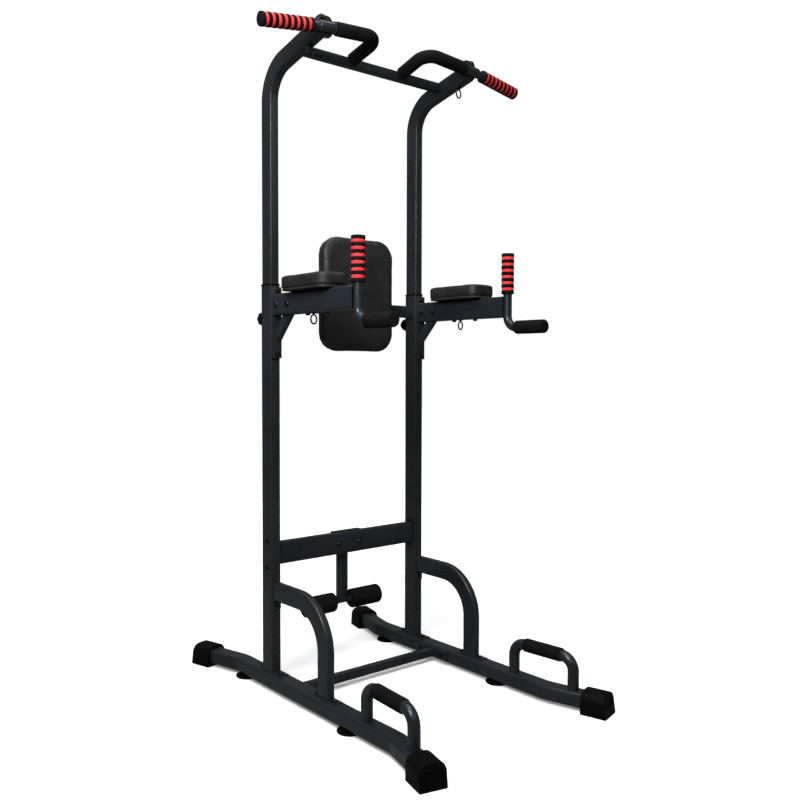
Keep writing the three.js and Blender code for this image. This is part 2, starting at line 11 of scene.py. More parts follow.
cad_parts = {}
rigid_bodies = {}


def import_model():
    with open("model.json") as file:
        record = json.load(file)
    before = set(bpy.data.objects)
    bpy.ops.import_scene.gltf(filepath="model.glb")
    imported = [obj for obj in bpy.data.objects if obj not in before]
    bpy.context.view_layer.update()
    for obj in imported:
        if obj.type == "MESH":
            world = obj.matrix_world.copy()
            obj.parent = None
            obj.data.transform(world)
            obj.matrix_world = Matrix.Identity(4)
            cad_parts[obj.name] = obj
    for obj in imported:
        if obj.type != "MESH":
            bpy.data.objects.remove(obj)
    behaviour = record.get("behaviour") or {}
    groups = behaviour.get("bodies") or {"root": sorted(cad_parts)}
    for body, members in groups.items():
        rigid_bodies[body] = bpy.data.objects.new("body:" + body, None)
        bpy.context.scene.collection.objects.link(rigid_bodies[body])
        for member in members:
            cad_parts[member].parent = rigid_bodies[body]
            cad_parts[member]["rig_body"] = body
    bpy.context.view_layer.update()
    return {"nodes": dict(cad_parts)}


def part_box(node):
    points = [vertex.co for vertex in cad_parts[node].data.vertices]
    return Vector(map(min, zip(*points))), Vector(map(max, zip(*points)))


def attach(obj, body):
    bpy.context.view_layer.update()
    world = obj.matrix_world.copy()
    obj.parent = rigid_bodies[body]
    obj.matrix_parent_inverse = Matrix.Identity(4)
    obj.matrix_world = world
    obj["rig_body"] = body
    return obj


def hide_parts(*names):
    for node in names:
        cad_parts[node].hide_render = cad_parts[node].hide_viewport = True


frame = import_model()

# Camera: at chest height to the front left of the tower, turned a little down.
camera_data = bpy.data.cameras.new("camera")
camera_data.lens = 38.971
camera_data.sensor_width = 36.0
camera_data.clip_end = 100.0
camera = bpy.data.objects.new("camera", camera_data)
bpy.context.scene.collection.objects.link(camera)
bpy.context.scene.camera = camera

yaw, pitch, roll = math.radians(39.9453), math.radians(-2.3161), math.radians(0.1493)
gaze = Vector((math.sin(yaw) * math.cos(pitch), math.cos(yaw) * math.cos(pitch), math.sin(pitch)))
level = Vector((math.cos(yaw), -math.sin(yaw), 0.0))
rise = level.cross(gaze)
camera_right = level * math.cos(roll) + rise * math.sin(roll)
camera_up = rise * math.cos(roll) - level * math.sin(roll)
facing = Matrix((camera_right, camera_up, -gaze)).transposed()
camera.matrix_world = Matrix.Translation((-1.92643, -2.36355, 1.145684)) @ facing.to_4x4()

# Studio: a large soft light overhead, a near one at the front left, and weak ones at the front
# right and behind. The surround is white to the camera, and lights the tower only dimly.
bpy.context.scene.view_settings.view_transform = "Standard"
SURROUND_SEEN, SURROUND_LOW, SURROUND_HIGH = 1.02, 0.13, 0.22
world = bpy.data.worlds.new("surround")
world.use_nodes = True
world_nodes, world_links = world.node_tree.nodes, world.node_tree.links
backdrop = world_nodes["Background"]
seen, shown = world_nodes.new("ShaderNodeLightPath"), world_nodes.new("ShaderNodeMix")
heading, height = world_nodes.new("ShaderNodeTexCoord"), world_nodes.new("ShaderNodeSeparateXYZ")
rising = world_nodes.new("ShaderNodeMapRange")
rising.inputs["To Min"].default_value = SURROUND_LOW
rising.inputs["To Max"].default_value = SURROUND_HIGH
shown.inputs[3].default_value = SURROUND_SEEN
world_links.new(heading.outputs["Generated"], height.inputs["Vector"])
world_links.new(height.outputs["Z"], rising.inputs["Value"])
world_links.new(seen.outputs["Is Camera Ray"], shown.inputs[0])
world_links.new(rising.outputs["Result"], shown.inputs[2])
world_links.new(shown.outputs[0], backdrop.inputs["Strength"])
backdrop.inputs["Color"].default_value = (1.0, 1.0, 1.0, 1.0)
bpy.context.scene.world = world

for light_name, place, size, watts in (
    ("overhead", (-0.5, -0.5, 5.2), 3.6, 200.0),
    ("front_left", (-1.9, -1.3, 2.4), 1.0, 92.0),
    ("front_right", (1.0, -4.2, 3.6), 2.0, 22.0),
    ("back", (0.4, 3.6, 4.4), 2.4, 9.0),
):
    lamp = bpy.data.lights.new(light_name, "AREA")
    lamp.size = size
    lamp.energy = watts
    lamp_object = bpy.data.objects.new(light_name, lamp)
    lamp_object.location = place
    aim = Vector((0.0, 0.0, 1.3)) - Vector(place)
    lamp_object.rotation_euler = aim.to_track_quat("-Z", "Y").to_euler()
    bpy.context.scene.collection.objects.link(lamp_object)

# Floor: a plain white plane. It is bright to the camera and throws little light back, and its
# glow grows from near the tower out to the far floor, so that no horizon shows.
FLOOR_HALF, FLOOR_GLOW, FLOOR_GLOW_FAR = 14.0, 0.20, 1.0
FLOOR_TONE, FLOOR_BOUNCE = 0.98, 0.20
GLOW_FROM, GLOW_TO = 1.1, 3.4
floor_mesh = bpy.data.meshes.new("floor")
floor_mesh.from_pydata(
    [(-FLOOR_HALF, -FLOOR_HALF, 0), (FLOOR_HALF, -FLOOR_HALF, 0), (FLOOR_HALF, FLOOR_HALF, 0),
     (-FLOOR_HALF, FLOOR_HALF, 0)], [], [(0, 1, 2, 3)])
floor = bpy.data.objects.new("floor", floor_mesh)
bpy.context.scene.collection.objects.link(floor)
floor_paint = bpy.data.materials.new("floor_paint")
floor_paint.use_nodes = True
floor_shader = floor_paint.node_tree.nodes["Principled BSDF"]
floor_shader.inputs["Roughness"].default_value = 1.0
floor_shader.inputs["Specular IOR Level"].default_value = 0.0
floor_shader.inputs["Emission Color"].default_value = (1.0, 1.0, 1.0, 1.0)
floor_nodes, floor_links = floor_paint.node_tree.nodes, floor_paint.node_tree.links
floor_seen, floor_glow = floor_nodes.new("ShaderNodeLightPath"), floor_nodes.new("ShaderNodeMath")
floor_place, floor_reach = floor_nodes.new("ShaderNodeTexCoord"), floor_nodes.new("ShaderNodeVectorMath")
floor_fade = floor_nodes.new("ShaderNodeMapRange")
floor_reach.operation, floor_glow.operation = "LENGTH", "MULTIPLY"
for socket, value in (("From Min", GLOW_FROM), ("From Max", GLOW_TO), ("To Min", FLOOR_GLOW),
                      ("To Max", FLOOR_GLOW_FAR)):
    floor_fade.inputs[socket].default_value = value
floor_links.new(floor_place.outputs["Object"], floor_reach.inputs[0])
floor_links.new(floor_reach.outputs["Value"], floor_fade.inputs["Value"])
floor_links.new(floor_fade.outputs["Result"], floor_glow.inputs[0])
floor_links.new(floor_seen.outputs["Is Camera Ray"], floor_glow.inputs[1])
floor_links.new(floor_glow.outputs["Value"], floor_shader.inputs["Emission Strength"])
floor_tone = floor_nodes.new("ShaderNodeMapRange")
for socket, value in (("To Min", FLOOR_BOUNCE), ("To Max", FLOOR_TONE)):
    floor_tone.inputs[socket].default_value = value
floor_links.new(floor_seen.outputs["Is Camera Ray"], floor_tone.inputs["Value"])
floor_links.new(floor_tone.outputs["Result"], floor_shader.inputs["Base Color"])
floor_mesh.materials.append(floor_paint)

# Base rails: two runs of flat-oval steel tube, powder coated dark grey. Each is straight
# through the middle and turns a little outwards at both ends, where a cap holds it.
SIDES = (("l", -1.0), ("r", 1.0))
post_low, post_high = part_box("post_r")
SIDE_X = (post_low.x + post_high.x) / 2
POST_Y = (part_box("collar_r")[0].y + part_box("collar_r")[1].y) / 2
rail_low, rail_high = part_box("base_rail_r")
RAIL_TOP = rail_high.z
RAIL_MID = (rail_low.z + rail_high.z) / 2
RAIL_WIDTH, RAIL_HEIGHT, RAIL_CORNER = 0.062, RAIL_TOP - rail_low.z, 0.012
RAIL_STRAIGHT, RAIL_SPLAY, RAIL_BEND, RAIL_TURNED = 0.449, math.radians(14.7), 0.15, 0.205


def grain_group():
    """Node group: a fine pebble height and a broad, soft patchiness, both in object space."""
    group = bpy.data.node_groups.new("surface_grain", "ShaderNodeTree")
    for label, default in (("Fine Scale", 900.0), ("Broad Scale", 9.0), ("Pebble", 0.0)):
        socket = group.interface.new_socket(label, in_out="INPUT", socket_type="NodeSocketFloat")
        socket.default_value = default
    for label in ("Height", "Patch"):
        group.interface.new_socket(label, in_out="OUTPUT", socket_type="NodeSocketFloat")
    nodes, links = group.nodes, group.links
    given, result = nodes.new("NodeGroupInput"), nodes.new("NodeGroupOutput")
    place = nodes.new("ShaderNodeTexCoord")
    fine, broad = nodes.new("ShaderNodeTexNoise"), nodes.new("ShaderNodeTexNoise")
    cells, mix = nodes.new("ShaderNodeTexVoronoi"), nodes.new("ShaderNodeMix")
    fine.inputs["Detail"].default_value = 3.0
    broad.inputs["Detail"].default_value = 4.0
    for texture, scale in ((fine, "Fine Scale"), (broad, "Broad Scale"), (cells, "Fine Scale")):
        links.new(place.outputs["Object"], texture.inputs["Vector"])
        links.new(given.outputs[scale], texture.inputs["Scale"])
    links.new(given.outputs["Pebble"], mix.inputs[0])
    links.new(fine.outputs["Fac"], mix.inputs[2])
    links.new(cells.outputs["Distance"], mix.inputs[3])
    links.new(mix.outputs[0], result.inputs["Height"])
    links.new(broad.outputs["Fac"], result.inputs["Patch"])
    return group


grain = grain_group()


def coating(name, dark, light, rough, fine, broad, bump, pebble=0.0, shine=0.25):
    """A finish whose colour and gloss drift between two values in soft patches, over a fine bump."""
    material = bpy.data.materials.new(name)
    material.use_nodes = True
    nodes, links = material.node_tree.nodes, material.node_tree.links
    shader = nodes["Principled BSDF"]
    shader.inputs["Specular IOR Level"].default_value = shine
    texture = nodes.new("ShaderNodeGroup")
    texture.node_tree = grain
    texture.inputs["Fine Scale"].default_value = fine
    texture.inputs["Broad Scale"].default_value = broad
    texture.inputs["Pebble"].default_value = pebble
    spread = nodes.new("ShaderNodeMapRange")
    spread.inputs["From Min"].default_value = 0.35
    spread.inputs["From Max"].default_value = 0.65
    tint = nodes.new("ShaderNodeMix")
    tint.data_type = "RGBA"
    tint.inputs[6].default_value = (*dark, 1.0)
    tint.inputs[7].default_value = (*light, 1.0)
    gloss = nodes.new("ShaderNodeMapRange")
    gloss.inputs["To Min"].default_value = rough[0]
    gloss.inputs["To Max"].default_value = rough[1]
    relief = nodes.new("ShaderNodeBump")
    relief.inputs["Strength"].default_value = bump
    relief.inputs["Distance"].default_value = 0.0004
    links.new(texture.outputs["Patch"], spread.inputs["Value"])
    links.new(spread.outputs["Result"], tint.inputs[0])
    links.new(spread.outputs["Result"], gloss.inputs["Value"])
    links.new(tint.outputs[2], shader.inputs["Base Color"])
    links.new(gloss.outputs["Result"], shader.inputs["Roughness"])
    links.new(texture.outputs["Height"], relief.inputs["Height"])
    links.new(relief.outputs["Normal"], shader.inputs["Normal"])
    return material


def rounded(width, height, radius, per_corner=8):
    """A rectangle with round corners: a circle's four quarters, each moved out to its own corner."""
    quarter = np.linspace(0, math.pi / 2, per_corner)
    angle = quarter[None, :] + np.arange(4)[:, None] * math.pi / 2
    corner = np.array([[1, 1], [-1, 1], [-1, -1], [1, -1]]) * [width / 2 - radius, height / 2 - radius]
    ring = corner[:, None, :] + radius * np.stack([np.cos(angle), np.sin(angle)], -1)
    return ring.reshape(-1, 2)


def unit(vectors):
    """Each vector divided by its own length."""
    vectors = np.asarray(vectors, float)
    return vectors / np.linalg.norm(vectors, axis=-1, keepdims=True)


def bent_line(corners, bends, steps=14):
    """Straight runs joined by arcs: the line leaves a run at r tan(turn/2) short of the corner,
    then swings round the arc's centre by r(cos a, sin a) until it lies along the next run."""
    at = np.array(corners, float)
    parts = [at[:1]]
    for before, corner, after, radius in zip(at, at[1:], at[2:], bends):
        back, ahead = unit(before - corner), unit(after - corner)
        half = (math.pi - math.acos(float(np.clip(back @ ahead, -1, 1)))) / 2
        reach = radius * math.tan(half)
        centre = corner + unit(back + ahead) * radius / math.cos(half)
        outward = unit(corner + back * reach - centre)
        angle = np.linspace(0, 2 * half, steps + 1)[:, None]
        parts.append(centre + radius * (outward * np.cos(angle) - back * np.sin(angle)))
    parts.append(at[-1:])
    return np.vstack(parts)


def grid_faces(rings, points):
    """Quads between neighbouring rings, each ring closed on itself."""
    row, column = np.meshgrid(np.arange(rings - 1), np.arange(points), indexing="ij")
    ahead = (column + 1) % points
    quads = [row * points + column, row * points + ahead, (row + 1) * points + ahead,
             (row + 1) * points + column]
    return np.stack(quads, -1).reshape(-1, 4).tolist()


def swept(line, outline, across_of, bore=None):
    """An outline carried along a line: at each point its x runs along (line x fixed axis) and its
    y at right angles to that. With a bore the tube is hollow, and a ring closes each end."""
    line = np.asarray(line, float)
    steps = np.diff(line, axis=0)
    along = unit(np.vstack([steps[:1], unit(steps[:-1]) + unit(steps[1:]), steps[-1:]]))
    across = unit(np.cross(along, across_of))
    upward = np.cross(across, along)
    shells = []
    for shape in (outline,) if bore is None else (outline, bore):
        side_step, rise_step = shape[None, :, :1] * across[:, None], shape[None, :, 1:] * upward[:, None]
        shells.append(line[:, None] + side_step + rise_step)
    rings, points = shells[0].shape[:2]
    faces = grid_faces(rings, points)
    first, last = np.arange(points), np.arange(points) + (rings - 1) * points
    if bore is None:
        return shells[0].reshape(-1, 3), faces + [first.tolist(), last[::-1].tolist()]
    inner = rings * points
    faces += [[b + inner, a + inner, d + inner, c + inner] for a, b, c, d in grid_faces(rings, points)]
    ahead = (np.arange(points) + 1) % points
    faces += np.stack([first, first + inner, ahead + inner, ahead], -1).tolist()
    far = ahead + (rings - 1) * points
    faces += np.stack([last, far, far + inner, last + inner], -1).tolist()
    return np.vstack([shells[0].reshape(-1, 3), shells[1].reshape(-1, 3)]), faces


def joined(*shapes):
    """Several (points, faces) shapes as one."""
    points, faces, start = [], [], 0
    for shape_points, shape_faces in shapes:
        points.append(shape_points)
        faces += [[i + start for i in face] for face in shape_faces]
        start += len(shape_points)
    return np.vstack(points), faces


def piece(name, shape, body, material, stands_for=(), bevel=0.0, sharp=35.0):
    """A finished object from a shape: doubles merged, faces outwards, smooth shaded up to an angle."""
    points, faces = shape
    mesh = bpy.data.meshes.new(name)
    mesh.from_pydata(np.asarray(points).tolist(), [], faces)
    work = bmesh.new()
    work.from_mesh(mesh)
    bmesh.ops.remove_doubles(work, verts=work.verts, dist=2e-6)
    bmesh.ops.recalc_face_normals(work, faces=work.faces)
    work.to_mesh(mesh)
    work.free()
    made = bpy.data.objects.new(name, mesh)
    bpy.context.scene.collection.objects.link(made)
    if bevel:
        edge = made.modifiers.new("edge", "BEVEL")
        edge.width = bevel
        edge.segments = 3
        edge.limit_method = "ANGLE"
        edge.angle_limit = math.radians(sharp)
        bake(made)
    made.data.materials.append(material)
    made.data.shade_smooth()
    made.data.set_sharp_from_angle(angle=math.radians(sharp))
    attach(made, body)
    if stands_for:
        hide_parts(*stands_for)
    return made


def bake(made):
    """Applies an object's modifiers to its own mesh."""
    evaluated = made.evaluated_get(bpy.context.evaluated_depsgraph_get())
    result = bpy.data.meshes.new_from_object(evaluated)
    old = made.data
    made.modifiers.clear()
    made.data = result
    bpy.data.meshes.remove(old)


powder_coat = coating("powder_coat", (0.0086, 0.0112, 0.0138), (0.0118, 0.0150, 0.0184), (0.26, 0.34),
                      1500.0, 5.0, 0.08, shine=0.3)
rail_end = RAIL_STRAIGHT + RAIL_TURNED * math.cos(RAIL_SPLAY)
rail_out = RAIL_TURNED * math.sin(RAIL_SPLAY)
for side, s in SIDES:
    corners = [(s * (SIDE_X + rail_out), -rail_end, RAIL_MID), (s * SIDE_X, -RAIL_STRAIGHT, RAIL_MID),
               (s * SIDE_X, RAIL_STRAIGHT, RAIL_MID), (s * (SIDE_X + rail_out), rail_end, RAIL_MID)]
    shape = swept(bent_line(corners, (RAIL_BEND, RAIL_BEND)),
                  rounded(RAIL_WIDTH, RAIL_HEIGHT, RAIL_CORNER, 12), (0, 0, 1))
    piece(f"rail_{side}", shape, "base", powder_coat, [f"base_rail_{side}"])

# End caps: mouldings in matt black plastic, pushed over the rail ends. Each is an arch
# in section, flat below, with rounded edges and a shallow label recess in its end face.
plastic = coating("moulded_plastic", (0.0012, 0.0012, 0.0013), (0.0022, 0.0022, 0.0023), (0.50, 0.66),
                  1100.0, 14.0, 0.22, pebble=0.6, shine=0.06)
CAP_WIDTH, CAP_HEIGHT, CAP_LENGTH, CAP_START, CAP_LEAN = 0.088, 0.076, 0.089, 0.143, 1.3


def arch(width, height, radius, foot=0.003, per_corner=9):
    """An arch seen end on: two small quarter circles at the foot and two large ones at the top."""
    quarter = np.linspace(0, math.pi / 2, per_corner)
    parts = []
    for x, y, r, start in ((1, 1, radius, 0), (-1, 1, radius, 1), (-1, 0, foot, 2), (1, 0, foot, 3)):
        middle = np.array([x * (width / 2 - r), height - r if y else r])
        angle = quarter + start * math.pi / 2
        parts.append(middle + r * np.stack([np.cos(angle), np.sin(angle)], -1))
    return np.vstack(parts)


def carve(made, tools):
    """Cuts each tool shape out of a finished object."""
    cutter_mesh = bpy.data.meshes.new("cutter")
    points, faces = joined(*tools)
    cutter_mesh.from_pydata(np.asarray(points).tolist(), [], faces)
    work = bmesh.new()
    work.from_mesh(cutter_mesh)
    bmesh.ops.remove_doubles(work, verts=work.verts, dist=2e-6)
    bmesh.ops.recalc_face_normals(work, faces=work.faces)
    work.to_mesh(cutter_mesh)
    work.free()
    cutter = bpy.data.objects.new("cutter", cutter_mesh)
    bpy.context.scene.collection.objects.link(cutter)
    cut = made.modifiers.new("cut", "BOOLEAN")
    cut.operation = "DIFFERENCE"
    cut.solver = "EXACT"
    cut.object = cutter
    bake(made)
    bpy.data.objects.remove(cutter)
    made.data.set_sharp_from_angle(angle=math.radians(35.0))


def laid(shape, origin, across, upward, ahead):
    """A shape moved from its own axes onto three given ones, about a given origin."""
    points, faces = shape
    return np.asarray(origin) + np.asarray(points) @ np.array([across, upward, ahead]), faces


EDGE = 0.0025
corner_turn = np.linspace(0, math.pi / 2, 7)
inset = np.concatenate([EDGE * (1 - np.sin(corner_turn)), EDGE * (1 - np.cos(corner_turn))])
station = np.concatenate([EDGE * (1 - np.cos(corner_turn)), CAP_LENGTH - EDGE * (1 - np.sin(corner_turn))])
cap_points = []
for depth, along in zip(inset, station):
    ring = arch(CAP_WIDTH - 2 * depth, CAP_HEIGHT - depth, 0.030 - depth, 0.003)
    cap_points.append(np.column_stack([ring, np.full(len(ring), along)]))
ring_size = len(cap_points[0])
cap_faces = grid_faces(len(cap_points), ring_size)
last_ring = ring_size * (len(cap_points) - 1)
cap_faces += [list(range(ring_size)), list(range(last_ring + ring_size - 1, last_ring - 1, -1))]


def leaned(shape):
    """The end face leans back: each point's distance along the cap shrinks with its height."""
    points = np.array(shape[0])
    points[:, 2] *= 1 - CAP_LEAN * points[:, 1]
    return points, shape[1]


cap_shape = leaned((np.vstack(cap_points), cap_faces))
LABEL_Z, LABEL_HEIGHT, LABEL_WIDTH, LABEL_RIM = 0.0445, 0.021, 0.054, 0.0024


def label_block(outline, sunk, proud, bore=None):
    """The label's outline swept from below the end face to proud of it, leaned like the face."""
    line = [(0, LABEL_Z, CAP_LENGTH - sunk), (0, LABEL_Z, CAP_LENGTH + proud)]
    return leaned(swept(line, outline, (1, 0, 0), bore=bore))


label = rounded(LABEL_HEIGHT, LABEL_WIDTH, 0.004)
label_rim = rounded(LABEL_HEIGHT + 2 * LABEL_RIM, LABEL_WIDTH + 2 * LABEL_RIM, 0.0055)
recess = label_block(label, 0.0025, 0.01)
rim = label_block(label_rim, 0.001, 0.0018, label)
for side, s in SIDES:
    for end, way in (("front", -1.0), ("rear", 1.0)):
        ahead = np.array([s * math.sin(RAIL_SPLAY), way * math.cos(RAIL_SPLAY), 0.0])
        origin = np.array([s * SIDE_X, way * RAIL_STRAIGHT, 0.0]) + ahead * CAP_START
        across = np.cross((0, 0, 1), ahead)
        made = piece(f"cap_moulding_{end}_{side}", laid(cap_shape, origin, across, (0, 0, 1), ahead),
                     "base", plastic, [f"cap_{end}_{side}"])
        carve(made, [laid(recess, origin, across, (0, 0, 1), ahead)])
        piece(f"cap_label_rim_{end}_{side}", laid(rim, origin, across, (0, 0, 1), ahead),
              "base", plastic, bevel=0.0004)

# Suction feet: soft black rubber discs under the rails, on a short stem. Turned in one piece,
# with a thin lip that spreads on the floor.
rubber = coating("rubber", (0.0006, 0.0006, 0.0006), (0.0012, 0.0012, 0.0012), (0.5, 0.7),
                 800.0, 20.0, 0.2, shine=0.05)


def turned(profile, direction, origin, segments=56, lobes=0, lobe_depth=0.0):
    """A profile of (distance along, radius) spun round an axis. With lobes the radius also rises
    and falls by a cosine of the angle, as on a hand knob."""
    profile = np.asarray(profile, float)
    along = unit(direction)
    helper = (1.0, 0.0, 0.0) if abs(along[0]) < 0.9 else (0.0, 1.0, 0.0)
    across = unit(np.cross(along, helper))
    upward = np.cross(along, across)
    angle = np.arange(segments) * 2 * math.pi / segments
    around = across * np.cos(angle)[:, None] + upward * np.sin(angle)[:, None]
    swell = 1 + lobe_depth * np.cos(lobes * angle)
    radius = profile[:, 1, None] * swell[None, :]
    points = np.asarray(origin) + profile[:, :1, None] * along + radius[:, :, None] * around[None]
    return points.reshape(-1, 3), grid_faces(len(profile), segments)


foot_profile = [(0, 0), (0, 0.0405), (0.0012, 0.0432), (0.0032, 0.0440), (0.0055, 0.0436), (0.0072, 0.0405),
                (0.0088, 0.0300), (0.0098, 0.0150), (0.0110, 0.0120), (0.0135, 0.012), (0.0135, 0)]
for side, s in SIDES:
    for end in ("front", "rear"):
        low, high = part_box(f"foot_{end}_{side}")
        middle = (low + high) / 2
        piece(f"suction_foot_{end}_{side}", turned(foot_profile, (0, 0, 1), (middle.x, middle.y, 0)),
              "base", rubber, [f"foot_{end}_{side}"])

# Posts: rectangular steel tube, open at the top for the mast. Each stands on a plate that is
# bent to the rail and bolted down, with a welded boss for the pull pin on its back.
black_steel = coating("black_steel", (0.0018, 0.0018, 0.0020), (0.0042, 0.0042, 0.0045), (0.18, 0.28),
                      1200.0, 60.0, 0.05, shine=0.3)
POST_TOP = post_high.z
POST_WIDTH, POST_DEPTH = 0.037, 0.063
POST_CORNER, POST_WALL, POST_FOOT_HALF, POST_BOLT_SPREAD = 0.0035, 0.0016, 0.0235, 0.059
PLATE_THICK, HOLE_RADIUS = 0.0032, 0.0054


def saddle(x, y_from, y_to, half_width):
    """A plate bent over the rail: the rail's own outline, grown by a hair and by the plate's
    thickness, kept within the half width, and run along Y."""
    outer = rounded(RAIL_WIDTH + 2 * PLATE_THICK, RAIL_HEIGHT + 2 * PLATE_THICK,
                    RAIL_CORNER + PLATE_THICK, 24)
    inner = rounded(RAIL_WIDTH - 0.001, RAIL_HEIGHT - 0.001, RAIL_CORNER - 0.0005, 24)
    strips = []
    for ring in (outer, inner):
        kept = ring[(np.abs(ring[:, 0]) < half_width) & (ring[:, 1] > 0)]
        kept = kept[np.argsort(kept[:, 0])]
        ends = np.interp([-half_width, half_width], kept[:, 0], kept[:, 1])
        strips.append(np.vstack([(-half_width, ends[0]), kept, (half_width, ends[1])]))
    outline = np.vstack([strips[0], strips[1][::-1]])
    return swept([(x, y_from, RAIL_MID), (x, y_to, RAIL_MID)], outline, (0, 0, 1))


def hex_bolt(at, direction, size=0.0085):
    """A hexagon head with a rounded crown over a washer, seated at a point on a surface."""
    crown = [(0.0012, 0), (0.0012, size), (0.0058, size), (0.0068, size * 0.86), (0.0068, 0)]
    head = turned(crown, direction, at, segments=6)
    washer = [(-0.001, 0), (-0.001, size * 1.28), (0.0012, size * 1.28), (0.0016, size * 1.2), (0.0016, 0)]
    ring = turned(washer, direction, at, segments=32)
    return joined(ring, head)


def dome_bolt(at, direction, size=0.0095):
    """A low domed button head with a hexagon socket sunk in its crown."""
    socket = size * 0.42
    profile = [(-0.001, 0), (-0.001, size), (0.0008, size), (0.0026, size * 0.9), (0.0042, size * 0.66),
               (0.0049, socket), (0.0025, socket), (0.0025, 0)]
    return turned(profile, direction, at, segments=36)


for side, s in SIDES:
    x = s * SIDE_X
    tube = swept([(x, POST_Y, RAIL_TOP - 0.003), (x, POST_Y, POST_TOP)],
                 rounded(POST_DEPTH, POST_WIDTH, POST_CORNER), (1, 0, 0),
                 bore=rounded(POST_DEPTH - 2 * POST_WALL, POST_WIDTH - 2 * POST_WALL,
                              POST_CORNER - POST_WALL))
    piece(f"post_tube_{side}", tube, "base", powder_coat, [f"post_{side}"])
    low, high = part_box(f"post_{side}")
    foot = saddle(x, low.y, high.y, POST_FOOT_HALF)
    piece(f"post_foot_{side}", foot, "base", powder_coat, bevel=0.0012)
    pin_low, pin_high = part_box(f"pin_{side}")
    pin_z = (pin_low.z + pin_high.z) / 2
    boss = [(0, HOLE_RADIUS), (0, 0.012), (0.0052, 0.012), (0.0060, 0.011), (0.0060, HOLE_RADIUS),
            (0, HOLE_RADIUS)]
    piece(f"pin_boss_{side}", turned(boss, (0, 1, 0), (x, POST_Y + 0.0310, pin_z), 40), "base",
          powder_coat)
    anchors = [hex_bolt((x, POST_Y + way * POST_BOLT_SPREAD, RAIL_TOP + PLATE_THICK), (0, 0, 1))
               for way in (-1, 1)]
    piece(f"post_foot_bolts_{side}", joined(*anchors), "base", black_steel)

# Collars: black plastic bushes pressed into the top of each post to guide the mast.
for side, s in SIDES:
    x = s * SIDE_X
    low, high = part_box(f"collar_{side}")
    ring = swept([(x, POST_Y, low.z - 0.0003), (x, POST_Y, high.z + 0.001)],
                 rounded(POST_DEPTH + 0.0056, POST_WIDTH + 0.0056, 0.0078), (1, 0, 0),
                 bore=rounded(0.0598, 0.0338, 0.0039))
    piece(f"collar_bush_{side}", ring, "base", plastic, [f"collar_{side}"], bevel=0.0015)

# Curved braces: rectangular tube bent through a quarter turn, from a flange bolted on the
# front of each post down to a saddle plate on the rail.
BRACE_WIDTH, BRACE_DEPTH, BRACE_BEND = 0.029, 0.064, 0.147
BRACE_FOOT, BRACE_FOOT_HALF, BRACE_BOLT_SPREAD = 0.133, 0.0195, 0.0465
FLANGE_BOTTOM, FLANGE_HALF, FLANGE_THICK = 0.291, 0.017, 0.004


def plate(low, high, corner, axis):
    """A flat plate with round corners, as thick as its box along the given axis."""
    low, high = np.minimum(low, high), np.maximum(low, high)
    middle, size = (low + high) / 2, high - low
    start, end = middle.copy(), middle.copy()
    start[axis], end[axis] = low[axis], high[axis]
    fixed = ((0, 0, 1), (1, 0, 0), (1, 0, 0))[axis]
    wide, high = ((1, 2), (2, 0), (1, 0))[axis]
    return swept([start, end], rounded(size[wide], size[high], corner), fixed)


for side, s in SIDES:
    x = s * SIDE_X
    low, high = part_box(f"brace_{side}")
    foot_y = low.y + BRACE_FOOT / 2
    level_z = high.z - BRACE_DEPTH / 2
    corners = [(x, high.y - 0.003, level_z), (x, foot_y, level_z), (x, foot_y, RAIL_TOP - 0.002)]
    tube = swept(bent_line(corners, (BRACE_BEND,), 28), rounded(BRACE_DEPTH, BRACE_WIDTH, 0.008), (1, 0, 0))
    piece(f"brace_tube_{side}", tube, "base", powder_coat, [f"brace_{side}"])
    flange = plate((x - FLANGE_HALF, high.y - FLANGE_THICK, FLANGE_BOTTOM),
                   (x + FLANGE_HALF, high.y, high.z - 0.004), 0.004, 1)
    piece(f"brace_flange_{side}", flange, "base", powder_coat, bevel=0.0008)
    foot = saddle(x, low.y, low.y + BRACE_FOOT, BRACE_FOOT_HALF)
    piece(f"brace_foot_{side}", foot, "base", powder_coat, bevel=0.0012)
    bolts = [hex_bolt((x, foot_y + way * BRACE_BOLT_SPREAD, RAIL_TOP + PLATE_THICK), (0, 0, 1))
             for way in (-1, 1)]
    bolts.append(hex_bolt((x, high.y - FLANGE_THICK, 0.309), (0, -1, 0)))
    bolts.append(hex_bolt((x, POST_Y + POST_DEPTH / 2, 0.311), (0, 1, 0)))
    piece(f"brace_bolts_{side}", joined(*bolts), "base", black_steel)

# Crossbars, the roller hanger and the arm brackets: welded steel tube and flat plates. Their
# shapes are the frame's own, with the loose triangles merged and every edge eased.


def eased(node, name, bevel, material=None):
    """A frame node's surface with flat faces merged and its edges rounded off."""
    work = bmesh.new()
    work.from_mesh(frame["nodes"][node].data)
    bmesh.ops.remove_doubles(work, verts=work.verts, dist=1e-5)
    bmesh.ops.dissolve_limit(work, angle_limit=math.radians(1.5), verts=work.verts, edges=work.edges)
    points = np.array([v.co for v in work.verts])
    faces = [[v.index for v in face.verts] for face in work.faces]
    work.free()
    body = frame["nodes"][node]["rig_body"]
    return piece(name, (points, faces), body, material or powder_coat, [node], bevel=bevel, sharp=40.0)


eased("base_bar", "base_crossbar", 0.0010)
eased("mid_bar", "middle_crossbar", 0.0010)
eased("roller_hanger", "hanger_plate", 0.0008)
eased("back_bar", "back_pad_bar", 0.0008)
for side, s in SIDES:
    eased(f"arm_bracket_{side}", f"bracket_{side}", 0.0012)

